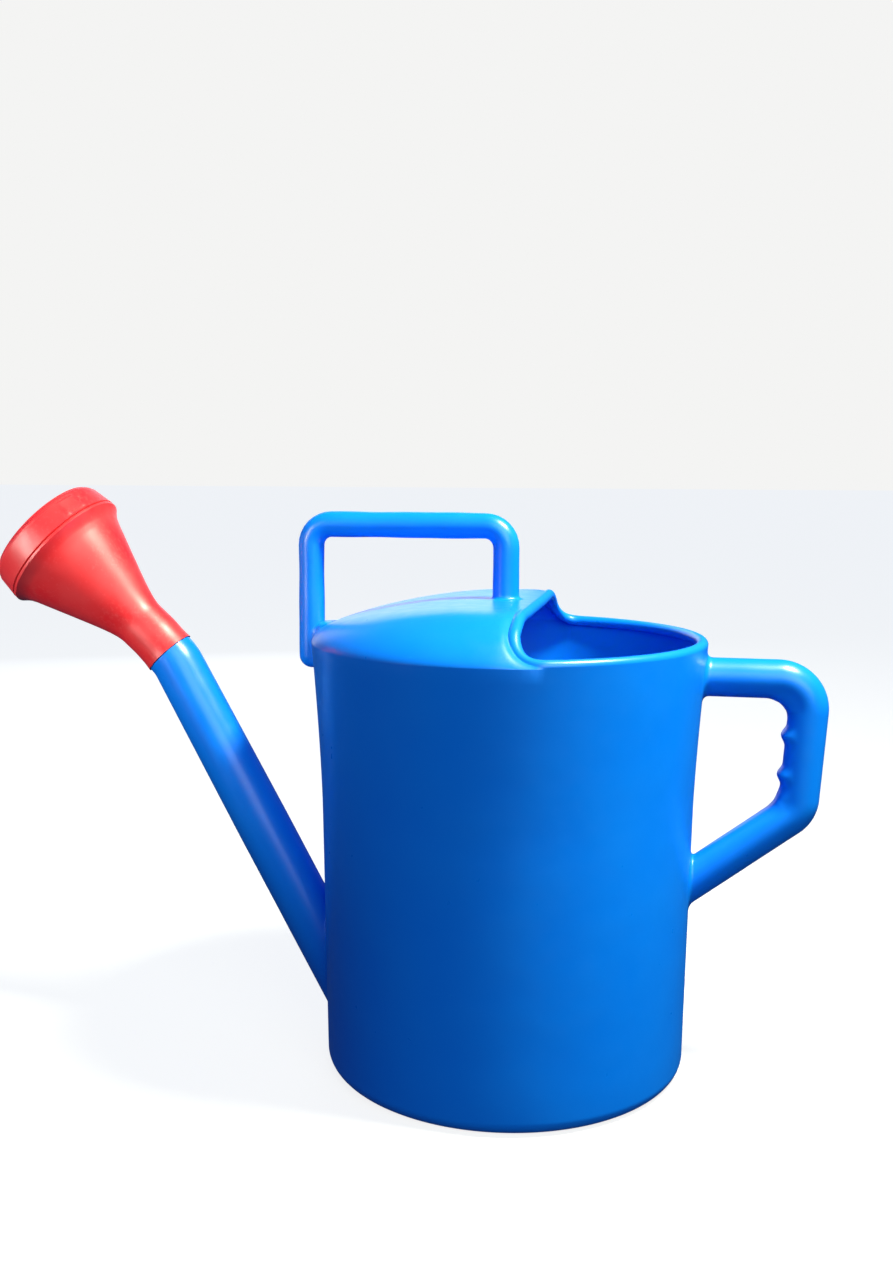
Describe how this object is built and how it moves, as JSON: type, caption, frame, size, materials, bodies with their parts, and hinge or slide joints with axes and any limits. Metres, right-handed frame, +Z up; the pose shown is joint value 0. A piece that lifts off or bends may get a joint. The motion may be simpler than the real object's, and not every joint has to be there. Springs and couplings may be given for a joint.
{
  "type": "watering can",
  "caption": "Hooded plastic garden watering can with a carrying handle over the hood, a pouring handle behind, a long spout and a push-on sprinkling rose.",
  "frame": {"origin": "centre of the ring that the can stands on, on the tank's axis, at the level of the ground", "axes": "+Z up along the tank's axis, +X towards the pouring handle, -X towards the spout and rose, +Y to the side"},
  "size_m": [0.5243, 0.241, 0.3586],
  "materials": {
    "can_plastic": "semi-gloss blow-moulded polyethylene, blue",
    "rose_plastic": "semi-gloss injection-moulded plastic, red"
  },
  "bodies": {
    "can": {"tank_floor": "can_plastic", "stand_ring": "can_plastic", "wall_foot": "can_plastic", "wall_middle": "can_plastic", "wall_flare": "can_plastic", "fill_rim": "can_plastic", "hood": "can_plastic", "hood_lip": "can_plastic", "carry_front_leg": "can_plastic", "carry_bar": "can_plastic", "carry_rear_leg": "can_plastic", "pour_upper_arm": "can_plastic", "pour_upper_corner": "can_plastic", "pour_grip": "can_plastic", "finger_ridges": "can_plastic", "pour_lower_corner": "can_plastic", "pour_lower_arm": "can_plastic", "spout_foot": "can_plastic", "spout_tube": "can_plastic", "spout_end": "can_plastic", "spout_tip": "can_plastic"},
    "rose": {"rose_socket": "rose_plastic", "rose_neck": "rose_plastic", "rose_cone": "rose_plastic"},
    "rose_cap": {"rose_cap": "rose_plastic", "rose_face": "rose_plastic"}
  },
  "joints": [
    {"name": "rose_turn", "type": "hinge", "parent": "can", "child": "rose", "pos_m": [-0.2207, 0, 0.2505], "axis": [-0.682, 0, 0.7314], "continuous": true},
    {"name": "cap_pull", "type": "slide", "parent": "rose", "child": "rose_cap", "axis": [-0.7431, 0, 0.6691], "range_m": [0, 0.02]}
  ]
}
